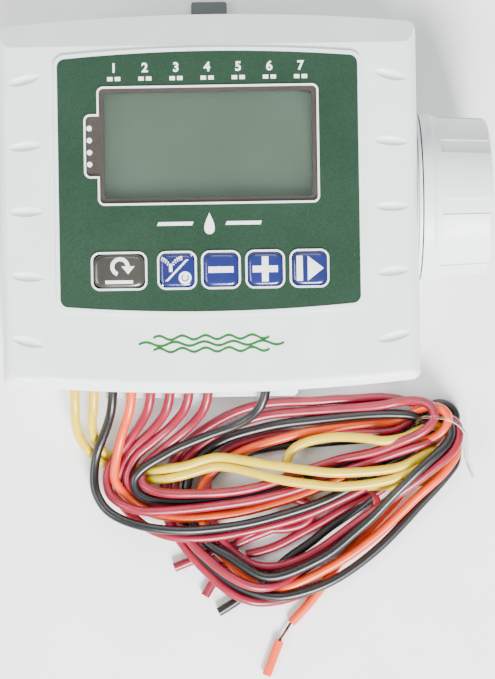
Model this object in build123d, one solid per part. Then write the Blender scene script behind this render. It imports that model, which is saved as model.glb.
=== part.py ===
from build123d import *
import math
import os

# A battery-powered irrigation controller lying on its back, with its lead wires wound in a loose hank.
# Millimetres. The origin is the middle of the mounting bracket's back face. +X points to the battery
# cap, +Y to the top edge of the case, and +Z out of the display.

# ---- Case -------------------------------------------------------------------------------------
case_width = 115.2
case_half_height = 52.35  # at the middle of the crowned top and bottom edges
case_crown = 3.05  # how much lower the ends of those edges are
case_corner = 2.5
case_wall = 2.4
front_wall = 2.2
case_back_z = 1.0
floor_thickness = 2.2
front_z = 53.4
cover_depth = 4.4  # from the front face to the seam between the two shells
front_edge_radius = 3.4
bevel_depth = 8.9  # the sloping band along the front's top edge, measured down from that edge
bevel_drop = 4.0
gasket_width = 1.1
gasket_depth = 0.8
gasket_clearance = 0.05

# ---- Joints between features ----------------------------------------------------------------------
sink = 0.5  # how deep bosses, pillars, rims and collars are rooted in the wall that they stand on
pilot_spare = 0.5  # depth of a screw's hole beyond the screw's end

# ---- Back recess, rails and bracket -------------------------------------------------------------
recess_half_width = 40.0
recess_bottom_y = -46.0
recess_top_y = 46.0
recess_z = 8.0
bracket_half_width = 34.0
bracket_bottom_y = -34.0
bracket_top_y = 43.0
bracket_thickness = 2.4
bracket_corner = 5.0
tab_width = 10.6
tab_top_y = 63.0
tab_corner = 0.8
tab_clearance = 0.6
rail_x = 18.0  # inner face of the bracket's rails
rail_wall = 2.0
rail_low_y = -26.0
rail_high_y = 26.0
rail_lip = 6.4
rail_lip_thickness = 1.8
rail_gap = 0.5
hook_lip = 4.0
hook_lip_thickness = 1.8
hook_wall = 2.4
screw_hole_radius = 2.25
screw_hole_spacing_x = 22.0
screw_hole_spacing_y = 50.0
top_pad_inner_x = 6.8
top_pad_outer_x = 33.0
top_pad_notch_x = 16.2
top_pad_notch_width = 2.0
top_pad_reach = 5.2
top_pad_low_z = 2.0
top_pad_height = 8.0
top_pad_slope = 3.2  # fall of the pads' top edge beyond the notch
top_pad_slope_start = 6.0  # from the notch to where that fall begins
top_pad_cut_depth = 4.0  # of the notch and the slots, from the pads' top edge
top_pad_slots = ((2.6, 2.6), (-3.3, 4.6))  # each slot's distance from the notch, and its width
top_pad_slot_low_z = 7.4
top_pad_slot_high_z = 8.6

# ---- Case screws and board pillars --------------------------------------------------------------
corner_screw_inset_x = 7.6
corner_screw_inset_y = 10.85
rear_boss_radius = 4.2
rear_boss_depth = 13.4  # from the front face to the tops of the rear shell's screw bosses
front_boss_radius = 3.2
screw_seat_depth = 25.4  # from the front face to the seats under the screw heads
screw_head_radius = 2.9
screw_head_height = 2.2
screw_head_round = 0.6
screw_cross_length = 3.4
screw_cross_width = 0.9
screw_cross_depth = 1.1
screw_shank_radius = 1.4
screw_length = 23.0
counterbore_radius = 3.3
screw_clearance = 0.2
thread_clearance = 0.05
board_half_width = 44.8
board_half_height = 40.0
board_depth = 11.4  # from the front face to the main board's back
board_thickness = 1.6
pillar_inset = 4.0
pillar_radius = 3.0
board_screw_radius = 1.1
board_screw_head_radius = 2.5
board_screw_head_height = 1.5
board_screw_length = 8.0
board_screw_slot_length = 3.0
board_screw_slot_width = 0.8
board_screw_slot_depth = 0.6
board_corner = 2.0

# ---- Label panel, display and keys --------------------------------------------------------------
panel_width = 82.4
panel_top_y = 41.6
panel_bottom_y = -29.8
panel_sag = 1.85
panel_corner = 2.2
panel_thickness = 0.45
panel_rim = 1.1
panel_rim_height = 0.6
display_y = 15.9
display_width = 60.9
display_height = 32.7
display_corner = 1.8
display_tab_width = 3.7
display_tab_height = 17.6
collar_wall = 0.55
collar_height = 0.85
fit_gap = 0.1
window_margin_x = 1.85  # between the collar's outline and the window's
window_margin_y = 1.8
window_corner = 1.0
window_thickness = 1.4
window_lip = 0.5
window_recess = 0.8
bezel_flange = 1.6
bezel_flange_thickness = 1.0
glass_gap = 0.4
glass_thickness = 2.2
reflector_thickness = 0.3
strip_width = 2.4
key_row_y = -18.5
key_height = 10.6
key_corner = 2.4
key_proud = 1.6
key_gap = 0.15
key_flange = 0.8
key_flange_thickness = 1.1
key_travel = 0.5
key_stem_radius = 2.2
plunger_radius = 1.7
plunger_height = 2.85
plunger_clearance = 0.05
switch_size = 6.0
switch_height = 3.3
mode_key_width = 15.4
blue_key_width = 10.85
keys = {
    "mode": (-25.0, mode_key_width),
    "on_off": (-9.1, blue_key_width),
    "minus": (2.96, blue_key_width),
    "plus": (15.1, blue_key_width),
    "next": (27.25, blue_key_width),
}

# ---- Grip scoops in the front's two sides ---------------------------------------------------------
scoop_inset_x = 7.3  # from the case's side to the middle of a scoop
scoop_length = 12.8  # of the whole spindle shape, which lies mostly above the front
scoop_radius = 1.6
scoop_depth = 0.8
scoop_rows = {34.4: 14.0, 16.2: 5.0, -1.8: 0.0, -19.6: -5.0, -37.5: -14.0}  # height: tilt in degrees

# ---- Battery neck and cap -------------------------------------------------------------------------
axis_y = 2.0
axis_z = 28.5
neck_radius = 19.5
neck_wall = 3.1
neck_length = 14.6
passage_step = 1.9  # the case's hole beyond the neck's bore
flange_proud = 0.9  # beyond the cap's grip
flange_start = 0.5
flange_thickness = 0.8
spigot_step = 1.3  # the flange beyond the spigot behind it
thread_pitch = 4.0
thread_height = 1.3
thread_root_width = 1.6
thread_crest_width = 0.8
thread_turns = 2.0
thread_overlap = 0.25
cap_turns = 1.5
cap_gap = 0.4
cap_length = 19.3
cap_end = 2.6
cap_clearance = 0.3  # between the neck's thread crest and the cap's bore
cap_wall = 1.9
cap_taper = 0.75
cap_flange_length = 2.8
cap_fillet_length = 2.6
cap_end_round = 1.2
cap_shoulder_length = 0.9  # of the hollow curve from the cap's flange to its grip
cap_shoulder_rise = 0.35
seal_room_clearance = 0.3
seal_end_clearance = 0.2
cap_groove_width = 4.6
cap_groove_depth = 0.45
cap_groove_count = 8
cap_groove_start = 5.2
cap_first_groove = 100.0
seal_clearance = 0.2
seal_width = 1.4
seal_length = 1.7
seal_gap = 0.25
pad_radius = 10.0
battery_length = 48.5
battery_width = 26.5
battery_height = 17.5
battery_edge = 1.6
battery_gap = 0.4
pad_gap = 0.6
sleeve_wall = 1.4
stud_height = 2.5
stud_offset = 6.35
stud_radius = 2.9
stud_ring_radius = 4.1
contact_length = 2.2
contact_socket_radius = 3.8
contact_socket_bore = 3.0
contact_stud_radius = 2.75
snap_corner = 2.5
snap_thickness = 2.2
snap_width = 25.0
snap_depth = 12.0
sleeve_end_gap = 1.8
sleeve_shoulder = 3.2  # from the case's side wall to where the square part of the sleeve begins
neck_chamfer = 0.6
thread_start = 2.6  # from the flange to the first turn on the neck
lead_radius = 0.8

# ---- Wire outlet and boards -----------------------------------------------------------------------
wire_radius = 1.4
wire_z = 16.5
wire_first_x = -40.7
wire_pitch = 5.65
wire_holes = 11
hole_clearance = 0.05
hole_mouth_radius = 2.2
hole_mouth_depth = 2.0
plugged_holes = (8, 9)
outlet_block_depth = 5.6
outlet_block_height = 9.0
outlet_margin = 4.0
ledge_left_x = -33.0
ledge_right_x = 24.5
ledge_reach = 2.1
ledge_low_z = 5.0
ledge_top_z = 13.4
seal_strip_thickness = 1.8
wire_board_thickness = 1.6
header_depth = 5.0
header_height = 4.0
wire_end_inset = 8.1  # from the case's lowest edge to the wires' soldered ends

# ---- Electronics ----------------------------------------------------------------------------------
solder_gap = 0.3  # between a chip's body and the board
leg_reach = 1.2
leg_thickness = 0.4
leg_share = 0.4  # of the legs' pitch
microcontroller_x = -18.0
microcontroller_y = 24.0
microcontroller_size = 12.0
microcontroller_height = 1.4
microcontroller_legs = 12
driver_xs = (-36.0, -26.0, -16.0, -6.0)
driver_y = -30.0
driver_length = 5.0
driver_width = 4.0
driver_height = 1.5
driver_legs = 4
crystal_x_range = (-36.0, -33.0)
crystal_y_range = (20.0, 28.0)
crystal_height = 2.6
crystal_round = 1.1
capacitor_x_range = (-34.0, -9.0)
capacitor_y = -21.0
capacitor_radius = 8.0
capacitor_round = 0.8
inductor_x = 4.0
inductor_y = -26.0
inductor_radius = 5.0
inductor_core_radius = 3.4
inductor_rim = 1.0
inductor_height = 5.0
board_clearance = 0.3  # between the wire board or the seal and the case's floor
wire_board_drop = 1.5  # from the main board's back to the wire board's top
header_x_range = (-20.0, 10.0)

# ---- Wire routes, from the outlet to the hank and from the hank to the free ends ----------------------
hank_bottom_z = 0.1
hank_top_z = 11.0
hank_corner = 4.0
hank_outline = [
    (-38.2, -66.0),
    (-38.6, -84.0),
    (-31.0, -93.5),
    (-14.0, -98.0),
    (-1.0, -115.0),
    (11.0, -119.4),
    (35.0, -113.6),
    (60.0, -93.0),
    (74.5, -83.5),
    (75.6, -70.0),
    (69.0, -60.5),
    (46.0, -54.8),
    (12.0, -54.8),
    (-6.0, -62.0),
    (-24.0, -66.0),
]
# Each lead's hole number, and its points after the straight run out of that hole
leads = {
    "lead_yellow_a": (0, [(-41.3, -64.5, 8.2), (-36.5, -72.0, 2.0)]),
    "lead_yellow_b": (1, [(-37.0, -63.9, 7.0), (-34.4, -70.2, 2.0)]),
    "lead_black_a": (2, [(-32.2, -63.9, 9.6), (-35.6, -71.0, 6.0)]),
    "lead_orange": (3, [(-27.6, -64.8, 9.6), (-29.4, -72.0, 7.0)]),
    "lead_red_a": (4, [(-22.5, -63.1, 8.9), (-28.0, -70.2, 4.6)]),
    "lead_red_b": (5, [(-17.2, -62.9, 8.9), (-24.0, -69.0, 4.6)]),
    "lead_red_c": (6, [(-12.2, -62.3, 9.2), (-18.2, -67.4, 6.0)]),
    "lead_red_d": (7, [(-6.8, -62.8, 9.5), (-14.0, -68.4, 6.4)]),
    "lead_black_b": (10, [(8.5, -62.3, 11.0), (-1.0, -65.4, 8.6)]),
}
lead_straight = 11.4
tails = {
    "tail_red_a": [(5.5, -98.0, 3.2), (-4.5, -102.0, 1.9), (-13.0, -105.5, 1.6)],
    "tail_red_b": [(9.0, -103.5, 1.6), (1.5, -108.5, 1.6), (-5.0, -114.0, 1.6)],
    "tail_black": [(14.5, -107.5, 1.7), (7.0, -114.0, 1.6), (0.0, -119.0, 1.6)],
    "tail_orange": [(38.5, -101.5, 3.4), (33.0, -108.0, 1.6), (27.8, -116.0, 1.6), (21.5, -122.5, 1.6)],
}
strand_radius = 0.5
strand_end = (18.0, -127.8, 1.6)
slug_end = (14.0, -138.0, 1.6)
tie_radius = 0.4
tie_loop = [
    (61.5, -66.5, 0.9),
    (59.8, -64.6, 6.0),
    (61.0, -62.6, 11.8),
    (67.0, -61.9, 12.6),
    (72.4, -64.4, 11.6),
    (75.4, -69.0, 6.5),
    (73.0, -71.6, 1.2),
]
tie_tail = [(75.0, -70.5, 2.6), (75.9, -74.6, 1.6), (77.2, -78.8, 1.2)]

# ---- Values worked out from those above -----------------------------------------------------------
side_x = case_width / 2
case_side_half_height = case_half_height - case_crown
seam_z = front_z - cover_depth
rear_boss_top_z = front_z - rear_boss_depth
screw_seat_z = front_z - screw_seat_depth
board_z = front_z - board_depth
window_width = display_width - 2 * window_margin_x
window_height = display_height - 2 * window_margin_y
neck_bore = neck_radius - neck_wall
passage_radius = neck_bore + passage_step
thread_crest_radius = neck_radius + thread_height
cap_bore = thread_crest_radius + cap_clearance
cap_grip_radius = cap_bore + cap_wall
cap_end_radius = cap_grip_radius - cap_taper
flange_radius = cap_grip_radius + flange_proud
spigot_radius = flange_radius - spigot_step
seal_inner = thread_crest_radius + seal_clearance
seal_outer = seal_inner + seal_width
chamber_z = case_back_z + case_wall
chamber_recess_z = recess_z + floor_thickness
front_inner_z = front_z - front_wall
corner_screw_x = side_x - corner_screw_inset_x
corner_screw_y = case_half_height - corner_screw_inset_y
board_top_z = board_z + board_thickness
pillar_x = board_half_width - pillar_inset
pillar_y = board_half_height - pillar_inset
panel_middle_y = (panel_top_y + panel_bottom_y) / 2
panel_half_height = (panel_top_y - panel_bottom_y) / 2
bezel_bottom_z = front_inner_z - bezel_flange_thickness
window_top_z = front_z - window_recess + 0.2
glass_top_z = bezel_bottom_z - glass_gap
glass_bottom_z = glass_top_z - glass_thickness
flange_face_x = side_x + flange_start + flange_thickness
neck_end_x = flange_face_x + neck_length
cap_start_x = flange_face_x + cap_gap
cap_end_x = cap_start_x + cap_length
cap_floor_x = cap_end_x - cap_end
pad_length = cap_floor_x - neck_end_x + 0.9
battery_end_x = cap_floor_x - pad_length - pad_gap
battery_start_x = battery_end_x - battery_length
wire_end_y = -case_half_height + wire_end_inset
wire_xs = [wire_first_x + wire_pitch * hole for hole in range(wire_holes)]
outlet_left_x = wire_xs[0] - outlet_margin
outlet_right_x = wire_xs[-1] + outlet_margin


def block(x_range, y_range, z_range):
    """A box given by its low and high X, Y and Z."""
    size = [high - low for low, high in (x_range, y_range, z_range)]
    middle = [(high + low) / 2 for low, high in (x_range, y_range, z_range)]
    return Pos(*middle) * Box(*size)


def post(x, y, z_low, z_high, radius):
    """A round post along Z."""
    return Pos(x, y, (z_low + z_high) / 2) * Cylinder(radius, z_high - z_low)


def bar_x(x_low, x_high, y, z, radius):
    """A round bar along X."""
    return Pos((x_low + x_high) / 2, y, z) * Rot(0, 90, 0) * Cylinder(radius, x_high - x_low)


def bar_y(y_low, y_high, x, z, radius):
    """A round bar along Y."""
    return Pos(x, (y_low + y_high) / 2, z) * Rot(90, 0, 0) * Cylinder(radius, y_high - y_low)


def crowned(half_width, crown, side, corner):
    """A rectangle whose top and bottom edges bulge from side at their ends to crown in the middle."""
    top = ThreePointArc((-half_width, side), (0, crown), (half_width, side))
    bottom = ThreePointArc((half_width, -side), (0, -crown), (-half_width, -side))
    face = make_face([top, Line(top @ 1, bottom @ 0), bottom, Line(bottom @ 1, top @ 0)])
    return fillet(face.vertices(), corner)


def case_outline(inset=0.0):
    """The case's outline, moved inwards by inset."""
    corner = max(case_corner - inset, 0.4)
    return crowned(
        case_width / 2 - inset, case_half_height - inset, case_side_half_height - inset, corner
    )


def case_layer(inset, z_low, z_high):
    return Pos(0, 0, z_low) * extrude(case_outline(inset), z_high - z_low)


def panel_layer(grow, z_low, z_high):
    """A slab with the label panel's outline, enlarged by grow on every side."""
    outline = crowned(
        panel_width / 2 + grow,
        panel_half_height + grow,
        panel_half_height - panel_sag + grow,
        panel_corner + grow,
    )
    return Pos(0, panel_middle_y, z_low) * extrude(outline, z_high - z_low)


def display_layer(grow, z_low, z_high):
    """A slab with the display opening's outline and its zone tab, enlarged by grow."""
    frame = RectangleRounded(
        display_width + 2 * grow, display_height + 2 * grow, display_corner + grow
    )
    tab_right = -display_width / 2 + 4.0
    tab_left = -display_width / 2 - display_tab_width - grow
    tab = RectangleRounded(tab_right - tab_left, display_tab_height + 2 * grow, display_corner + grow)
    shape = frame + Pos((tab_left + tab_right) / 2, 0) * tab
    return Pos(0, display_y, z_low) * extrude(shape, z_high - z_low)


def key_layer(x, width, grow, z_low, z_high):
    """A slab with one key's outline, enlarged by grow."""
    outline = RectangleRounded(width + 2 * grow, key_height + 2 * grow, key_corner + grow)
    return Pos(x, key_row_y, z_low) * extrude(outline, z_high - z_low)


def tube(points, radius, name):
    """A round tube of straight runs and tangent arcs. It prints its tightest radius and its length."""
    places = [Vector(*point) for point in points]
    runs = [after - before for before, after in zip(places, places[1:])]
    radii = []
    for before, after in zip(runs, runs[1:]):
        turn = math.radians(before.get_angle(after))
        radii.append(0.45 * min(before.length, after.length) / math.tan(turn / 2))
    path = FilletPolyline(*places, radius=radii)
    section = Plane(origin=path @ 0, z_dir=path % 0) * Circle(radius)
    solid = sweep(section, path=path)
    expected = math.pi * radius**2 * path.length
    print(
        f"{name}: length {path.length:.1f}, tightest radius {min(radii):.1f},"
        f" volume {solid.volume:.1f} of {expected:.1f}"
    )
    return solid


def thread(root_radius, crest_radius, start_x, turns, phase):
    """A right-handed helical ridge about the battery axis, from root_radius to crest_radius."""
    into_wall = math.copysign(thread_overlap, root_radius - crest_radius)
    helix = Helix(pitch=thread_pitch, height=thread_pitch * turns, radius=root_radius)
    corners = [
        (root_radius + into_wall, 0, -thread_root_width / 2),
        (crest_radius, 0, -thread_crest_width / 2),
        (crest_radius, 0, thread_crest_width / 2),
        (root_radius + into_wall, 0, thread_root_width / 2),
    ]
    ridge = sweep(make_face(Polyline(*corners, close=True)), path=helix, is_frenet=True)
    return Pos(start_x, axis_y, axis_z) * Rot(0, 90, 0) * Rot(0, 0, phase) * ridge


def about_axis(profile_points):
    """A solid turned about the battery axis from (x, radius) points."""
    outline = make_face(Polyline(*[(x, radius, 0) for x, radius in profile_points], close=True))
    return Pos(0, axis_y, axis_z) * revolve(outline, Axis.X)


def corner_places():
    return [(x, y) for x in (-corner_screw_x, corner_screw_x) for y in (-corner_screw_y, corner_screw_y)]


def pillar_places():
    return [(x, y) for x in (-pillar_x, pillar_x) for y in (-pillar_y, pillar_y)]


# ---- Case shells ------------------------------------------------------------------------------------
def make_rear_housing():
    recess = block(
        (-recess_half_width, recess_half_width), (recess_bottom_y, recess_top_y), (case_back_z, recess_z)
    )
    around_recess = block(
        (-recess_half_width - case_wall, recess_half_width + case_wall),
        (recess_bottom_y - case_wall, recess_top_y + case_wall),
        (case_back_z, chamber_recess_z),
    )
    shell = case_layer(0, case_back_z, seam_z)
    shell -= case_layer(case_wall, chamber_z, seam_z) - around_recess
    gasket_inset = (case_wall - gasket_width) / 2
    groove = case_layer(gasket_inset, seam_z - gasket_depth, seam_z)
    groove -= case_layer(case_wall - gasket_inset, seam_z - gasket_depth, seam_z)
    shell -= groove
    for x, y in corner_places():
        shell += post(x, y, case_back_z, rear_boss_top_z, rear_boss_radius)
        shell -= post(x, y, case_back_z, screw_seat_z, counterbore_radius)
        shell -= post(x, y, screw_seat_z, rear_boss_top_z, screw_shank_radius + screw_clearance)
    for x, y in pillar_places():
        shell += post(x, y, chamber_z + sink, board_z, pillar_radius)
        hole_depth = board_screw_length - board_thickness + pilot_spare
        shell -= post(x, y, board_z - hole_depth, board_z, board_screw_radius + thread_clearance)
    shell -= recess
    shell += make_back_hooks()
    shell += make_top_pads()
    shell += make_outlet_block()
    shell -= neck_passage()
    for x in wire_xs:
        shell -= bar_y(-case_half_height - 6, wire_end_y, x, wire_z, wire_radius + hole_clearance)
        mouth = (-case_half_height - 6, hole_mouth_depth - case_half_height)
        shell -= bar_y(*mouth, x, wire_z, hole_mouth_radius)
    tab_room = tab_width / 2 + tab_clearance
    shell -= block(
        (-tab_room, tab_room), (recess_top_y - 1, case_half_height + 6), (case_back_z, recess_z - 1)
    )
    return shell


def make_back_hooks():
    """The two hooked rails in the back recess that hold the bracket's rails."""
    hooks = None
    lip_top = bracket_thickness + rail_gap + hook_lip_thickness
    wall_x = rail_x + rail_lip + rail_wall + tab_clearance
    for side in (-1, 1):
        wall = block(
            (wall_x, wall_x + hook_wall),
            (rail_low_y, rail_high_y),
            (bracket_thickness + rail_gap, recess_z + sink),
        )
        lip = block(
            (wall_x - hook_lip, wall_x + sink),
            (rail_low_y, rail_high_y),
            (bracket_thickness + rail_gap, lip_top),
        )
        hook = wall + lip
        if side < 0:
            hook = mirror(hook, Plane.YZ)
        hooks = hook if hooks is None else hooks + hook
    return hooks


def make_top_pads():
    """Two pads on the top edge, each side of the bracket's tab, with a notch and two small slots."""
    pads = []
    top_y = case_half_height + top_pad_reach
    root_y = case_side_half_height - 2
    for side in (-1, 1):
        outline = Polyline(
            (side * top_pad_inner_x, root_y),
            (side * top_pad_inner_x, top_y),
            (side * (top_pad_notch_x + top_pad_slope_start), top_y),
            (side * top_pad_outer_x, top_y - top_pad_slope),
            (side * top_pad_outer_x, root_y),
            close=True,
        )
        pad = Pos(0, 0, top_pad_low_z) * extrude(make_face(outline), top_pad_height)
        cuts = [(0.0, top_pad_notch_width, top_pad_low_z, top_pad_low_z + top_pad_height)]
        for shift, width in top_pad_slots:
            cuts.append((shift, width, top_pad_slot_low_z, top_pad_slot_high_z))
        for shift, width, low_z, high_z in cuts:
            middle = side * (top_pad_notch_x + shift)
            pad -= block(
                (middle - width / 2, middle + width / 2),
                (top_y - top_pad_cut_depth, top_y + 1),
                (low_z, high_z),
            )
        pads.append(pad)
    return pads[0] + pads[1]


def make_outlet_block():
    """The thick block inside the bottom wall that the wires pass through, and the ledge under them."""
    lowest = -case_half_height + 1.2
    inner = block(
        (outlet_left_x, outlet_right_x),
        (-case_side_half_height + 1.2, -case_side_half_height + outlet_block_depth - 2.8),
        (chamber_recess_z - 0.5, wire_z + outlet_block_height / 2),
    )
    ledge = block(
        (ledge_left_x, ledge_right_x), (-case_half_height - ledge_reach, lowest), (ledge_low_z, ledge_top_z)
    )
    ledge = fillet(ledge.edges().filter_by(Axis.Z).group_by(Axis.Y)[0], 1.6)
    return inner + ledge


def bevel_wedge(depth):
    """What the sloping band cuts off above the front's top edge, moved depth into the wall."""
    slope = math.atan2(bevel_drop, bevel_depth)
    start_y = case_half_height - bevel_depth - depth * math.tan(slope / 2)
    start_z = front_z - depth
    end_y = start_y + 30 * math.cos(slope)
    end_z = start_z - 30 * math.sin(slope)
    above_z = start_z + 5
    outline = Polyline(
        (start_y, start_z), (end_y, end_z), (end_y, above_z), (start_y, above_z), close=True
    )
    face = Plane(origin=(-side_x - 5, 0, 0), x_dir=(0, 1, 0), z_dir=(1, 0, 0)) * make_face(outline)
    return extrude(face, case_width + 10)


def make_front_cover():
    shell = case_layer(0, seam_z, front_z)
    shell = fillet(shell.edges().group_by(Axis.Z)[-1], front_edge_radius)
    shell -= bevel_wedge(0)
    shell -= case_layer(case_wall, seam_z, front_inner_z) - bevel_wedge(front_wall)
    shell += panel_layer(panel_rim, front_z - sink, front_z + panel_rim_height)
    shell -= panel_layer(fit_gap, front_z, front_z + panel_rim_height)
    for x, y in corner_places():
        shell += post(x, y, rear_boss_top_z, front_inner_z + sink, front_boss_radius)
        pilot_top = screw_seat_z + screw_length + pilot_spare
        shell -= post(x, y, rear_boss_top_z, pilot_top, screw_shank_radius + thread_clearance)
    for x, width in keys.values():
        shell += key_layer(x, width, 0, front_z - sink, front_z + collar_height)
        shell -= key_layer(x, width, -collar_wall, seam_z, front_z + collar_height)
    shell += display_layer(0, front_z - sink, front_z + collar_height)
    shell -= display_layer(-collar_wall, seam_z, front_z + collar_height)
    return shell - grip_scoops() - neck_passage()


def grip_scoops():
    """Five spindle-shaped hollows down each side of the front, as one shape to cut away."""
    spindles = []
    for side in (-1, 1):
        for y, tilt in scoop_rows.items():
            arc = ThreePointArc((-scoop_length / 2, 0), (0, scoop_radius), (scoop_length / 2, 0))
            spindle = revolve(make_face([arc, Line(arc @ 1, arc @ 0)]), Axis.X)
            place = Pos(side * (side_x - scoop_inset_x), y, front_z + scoop_radius - scoop_depth)
            spindles.append(place * Rot(0, 0, -side * tilt) * spindle)
    whole = spindles[0]
    for spindle in spindles[1:]:
        whole += spindle
    return whole


def neck_passage():
    """The round hole for the battery sleeve in the case's right side."""
    return bar_x(side_x - case_wall - 1, side_x + 1, axis_y, axis_z, passage_radius + fit_gap)


def make_case_gasket():
    inset = (case_wall - gasket_width) / 2 + gasket_clearance
    ring = case_layer(inset, seam_z - gasket_depth, seam_z)
    return ring - case_layer(case_wall - inset, seam_z - gasket_depth, seam_z) - neck_passage()


def make_case_screws():
    screws = []
    for x, y in corner_places():
        head = post(x, y, screw_seat_z - screw_head_height, screw_seat_z, screw_head_radius)
        head = fillet(head.edges().group_by(Axis.Z)[0], screw_head_round)
        head_low = screw_seat_z - screw_head_height
        for angle in (0, 90):
            arm = Rot(0, 0, angle) * Box(screw_cross_length, screw_cross_width, 2 * screw_cross_depth)
            head -= Pos(x, y, head_low) * arm
        screws.append(head + post(x, y, screw_seat_z, screw_seat_z + screw_length, screw_shank_radius))
    return Compound(children=screws)


# ---- Label panel and display ----------------------------------------------------------------------
def make_overlay_panel():
    panel = panel_layer(0, front_z, front_z + panel_thickness)
    panel -= display_layer(fit_gap, front_z, front_z + 1)
    for x, width in keys.values():
        panel -= key_layer(x, width, fit_gap, front_z, front_z + 1)
    return panel


def window_layer(grow, z_low, z_high):
    outline = RectangleRounded(window_width + 2 * grow, window_height + 2 * grow, window_corner + grow)
    return Pos(0, display_y, z_low) * extrude(outline, z_high - z_low)


def make_lcd_bezel():
    bezel = display_layer(-collar_wall - fit_gap, bezel_bottom_z, front_z + 0.2)
    bezel += display_layer(bezel_flange - collar_wall, bezel_bottom_z, front_inner_z)
    bezel -= window_layer(0, bezel_bottom_z, front_z + 1)
    return bezel - window_layer(window_lip, bezel_bottom_z, window_top_z)


def make_window_lens():
    return window_layer(window_lip - 0.05, window_top_z - window_thickness, window_top_z)


def make_lcd_glass():
    return block(
        (-window_width / 2 - 1, window_width / 2 + 1),
        (display_y - window_height / 2 - 2, display_y + window_height / 2 + 2),
        (glass_bottom_z, glass_top_z),
    )


def make_lcd_reflector():
    return block(
        (-window_width / 2 - 1, window_width / 2 + 1),
        (display_y - window_height / 2 + 2.5, display_y + window_height / 2 - 2.5),
        (glass_bottom_z - reflector_thickness, glass_bottom_z),
    )


def make_lcd_connectors():
    strips = []
    for side in (-1, 1):
        y = display_y + side * window_height / 2
        strips.append(
            block(
                (-window_width / 2, window_width / 2),
                (y - strip_width / 2, y + strip_width / 2),
                (board_top_z, glass_bottom_z),
            )
        )
    return Compound(children=strips)


# ---- Keys -----------------------------------------------------------------------------------------
def plunger_top_z():
    return board_top_z + switch_height + 1.35


def make_key(x, width):
    grow = -collar_wall - key_gap
    top_z = front_z + key_proud
    flange_top_z = front_inner_z - 0.1
    cap = key_layer(x, width, grow, flange_top_z - 0.2, top_z)
    cap = fillet(cap.edges().group_by(Axis.Z)[-1], 0.9)
    cap += key_layer(x, width, grow + key_flange, flange_top_z - key_flange_thickness, flange_top_z)
    return cap + post(x, key_row_y, plunger_top_z(), flange_top_z - 0.5, key_stem_radius)


def make_plunger(x):
    top = plunger_top_z()
    return post(x, key_row_y, top - plunger_height, top, plunger_radius)


def make_tact_switches():
    bodies = []
    half = switch_size / 2
    for x, _ in keys.values():
        body = block(
            (x - half, x + half),
            (key_row_y - half, key_row_y + half),
            (board_top_z, board_top_z + switch_height),
        )
        well_floor = plunger_top_z() - plunger_height - key_travel - 0.3
        body -= post(
            x, key_row_y, well_floor, board_top_z + switch_height, plunger_radius + plunger_clearance
        )
        bodies.append(body)
    return Compound(children=bodies)


# ---- Electronics ------------------------------------------------------------------------------------
def make_main_board():
    outline = RectangleRounded(2 * board_half_width, 2 * board_half_height, board_corner)
    board = extrude(outline, board_thickness)
    board = Pos(0, 0, board_z) * board
    for x, y in pillar_places():
        board -= post(x, y, board_z, board_top_z, board_screw_radius + screw_clearance)
    return board


def make_board_screws():
    screws = []
    for x, y in pillar_places():
        head_top = board_top_z + board_screw_head_height
        head = post(x, y, board_top_z, head_top, board_screw_head_radius)
        slot = Box(board_screw_slot_length, board_screw_slot_width, 2 * board_screw_slot_depth)
        head -= Pos(x, y, head_top) * slot
        shank = post(x, y, board_top_z - board_screw_length, board_top_z, board_screw_radius)
        screws.append(head + shank)
    return Compound(children=screws)


def chip(x, y, length, width, height, leg_count):
    """A chip under the main board, with legs along its two long sides."""
    top = board_z - solder_gap
    body = block((x - length / 2, x + length / 2), (y - width / 2, y + width / 2), (top - height, board_z))
    pitch = length / leg_count
    for leg in range(leg_count):
        leg_x = x - length / 2 + pitch * (leg + 0.5)
        body += block(
            (leg_x - pitch * leg_share / 2, leg_x + pitch * leg_share / 2),
            (y - width / 2 - leg_reach, y + width / 2 + leg_reach),
            (board_z - leg_thickness, board_z),
        )
    return body


def make_microcontroller():
    size = microcontroller_size
    return chip(
        microcontroller_x, microcontroller_y, size, size, microcontroller_height, microcontroller_legs
    )


def make_driver_chips():
    drivers = []
    for x in driver_xs:
        drivers.append(chip(x, driver_y, driver_length, driver_width, driver_height, driver_legs))
    return Compound(children=drivers)


def make_clock_crystal():
    can = block(crystal_x_range, crystal_y_range, (board_z - crystal_height, board_z))
    return fillet(can.edges().filter_by(Axis.Y), crystal_round)


def make_reservoir_capacitor():
    can = bar_x(*capacitor_x_range, capacitor_y, board_z - capacitor_radius, capacitor_radius)
    return fillet(can.edges(), capacitor_round)


def make_boost_inductor():
    low_z = board_z - inductor_height
    reel = post(inductor_x, inductor_y, low_z, board_z, inductor_radius)
    groove = (low_z + inductor_rim, board_z - inductor_rim)
    around = post(inductor_x, inductor_y, *groove, inductor_radius + 1)
    return reel - (around - post(inductor_x, inductor_y, *groove, inductor_core_radius))


def make_wire_board():
    board = block(
        (outlet_left_x, outlet_right_x),
        (wire_end_y, wire_end_y + wire_board_thickness),
        (chamber_recess_z + board_clearance, board_z - wire_board_drop),
    )
    return board


def make_board_header():
    y_low = wire_end_y + wire_board_thickness
    return block(header_x_range, (y_low, y_low + header_depth), (board_z - header_height, board_z))


def make_wire_seal():
    """The rubber strip that grips every wire inside the outlet."""
    y_high = wire_end_y
    strip = block(
        (outlet_left_x, outlet_right_x),
        (y_high - seal_strip_thickness, y_high),
        (chamber_recess_z + board_clearance, wire_z + outlet_block_height / 2),
    )
    for hole, x in enumerate(wire_xs):
        if hole not in plugged_holes:
            strip -= bar_y(y_high - 5, y_high + 1, x, wire_z, wire_radius)
    return strip


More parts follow.
